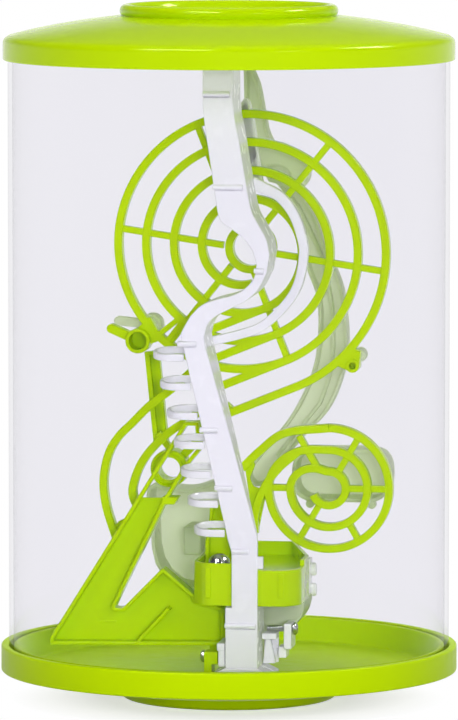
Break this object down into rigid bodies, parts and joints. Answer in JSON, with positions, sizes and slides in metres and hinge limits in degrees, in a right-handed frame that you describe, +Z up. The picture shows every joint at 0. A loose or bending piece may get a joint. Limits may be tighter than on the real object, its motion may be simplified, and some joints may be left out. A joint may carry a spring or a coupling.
{
  "type": "tilt maze game",
  "caption": "Clear cylinder tilt maze: lime caps, a clear tube and a lime and white spiral ball run inside with a loose steel ball.",
  "frame": {"origin": "centre of the foot ring's underside, where the game stands", "axes": "+Z up along the tube's axis, +X to the right seen from the front, +Y towards the back"},
  "size_m": [0.1672, 0.1672, 0.2542],
  "materials": {
    "lime_plastic": "moulded lime green, satin gloss",
    "white_plastic": "moulded white, satin gloss",
    "milky_plastic": "moulded white, slightly see-through, taking a green cast from the lime pieces",
    "clear_plastic": "clear rigid plastic sheet, polished",
    "steel": "plated steel screws",
    "bright_steel": "polished bearing steel"
  },
  "bodies": {
    "game": {"base_cover": "lime_plastic", "base_dish": "lime_plastic", "top_cap": "lime_plastic", "top_plate": "lime_plastic", "top_cover_disc": "lime_plastic", "big_spiral": "lime_plastic", "small_spiral": "lime_plastic", "lower_spiral": "lime_plastic", "strut": "lime_plastic", "ramp_tray": "lime_plastic", "start_cup": "lime_plastic", "drop_chute": "lime_plastic", "arch_plate": "lime_plastic", "lime_lug": "lime_plastic", "spine": "white_plastic", "guide_rail": "white_plastic", "hoop_1": "white_plastic", "hoop_2": "white_plastic", "hoop_3": "white_plastic", "hoop_4": "white_plastic", "hoop_5": "white_plastic", "hoop_6": "white_plastic", "hoop_7": "white_plastic", "arch_frame": "white_plastic", "knob_plate": "white_plastic", "gusset": "white_plastic", "screw_bracket": "white_plastic", "left_block": "white_plastic", "back_ribbon": "milky_plastic", "catch_tray": "milky_plastic", "rear_boss": "milky_plastic", "rear_knob": "milky_plastic", "trough": "milky_plastic", "bowl_left": "milky_plastic", "bowl_right": "milky_plastic", "clear_tube": "clear_plastic", "bracket_screw": "steel", "lug_screw": "steel", "base_screw_1": "steel", "base_screw_2": "steel", "base_screw_3": "steel"},
    "ball": {"steel_ball": "bright_steel"}
  },
  "joints": [
    {"name": "ball_roll", "type": "slide", "parent": "game", "child": "ball", "axis": [0.9903, -0.1392, 0], "range_m": [-0.002, 0.022]}
  ]
}
